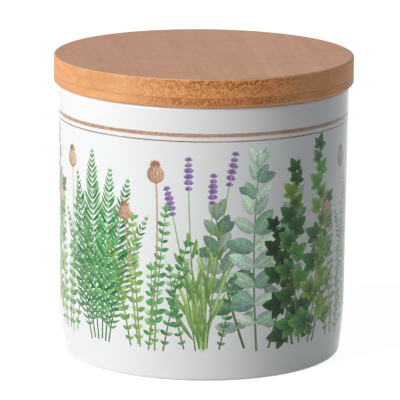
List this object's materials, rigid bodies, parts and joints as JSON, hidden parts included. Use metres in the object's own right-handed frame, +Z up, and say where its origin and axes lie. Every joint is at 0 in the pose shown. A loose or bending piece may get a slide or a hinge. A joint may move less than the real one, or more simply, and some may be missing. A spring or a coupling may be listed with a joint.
{
  "type": "storage jar with lid",
  "caption": "Round straight-sided porcelain storage jar with a turned bamboo lid that lifts off and a ring seal on the lid's plug.",
  "frame": {"origin": "centre of the foot, on the surface that the jar stands on", "axes": "+Z up along the jar's axis, -Y towards the viewer, +X to the viewer's right"},
  "size_m": [0.1032, 0.1032, 0.1038],
  "materials": {
    "porcelain": "gloss glaze",
    "silicone": "matt, translucent white",
    "bamboo": "satin oil"
  },
  "bodies": {
    "jar": {"jar_body": "porcelain"},
    "seal": {"seal_ring": "silicone"},
    "lid": {"top_strip_1": "bamboo", "top_strip_2": "bamboo", "top_strip_3": "bamboo", "top_strip_4": "bamboo", "top_strip_5": "bamboo", "top_strip_6": "bamboo", "middle_strip_1": "bamboo", "middle_strip_2": "bamboo", "middle_strip_3": "bamboo", "middle_strip_4": "bamboo", "middle_strip_5": "bamboo", "middle_strip_6": "bamboo", "plug_strip_1": "bamboo", "plug_strip_2": "bamboo", "plug_strip_3": "bamboo", "plug_strip_4": "bamboo", "plug_strip_5": "bamboo"}
  },
  "joints": [
    {"name": "lid_lift", "type": "slide", "parent": "jar", "child": "seal", "axis": [0, 0, 1], "range_m": [0, 0.08]},
    {"name": "lid_turn", "type": "hinge", "parent": "seal", "child": "lid", "pos_m": [0, 0, 0.094], "axis": [0, 0, 1], "continuous": true}
  ]
}
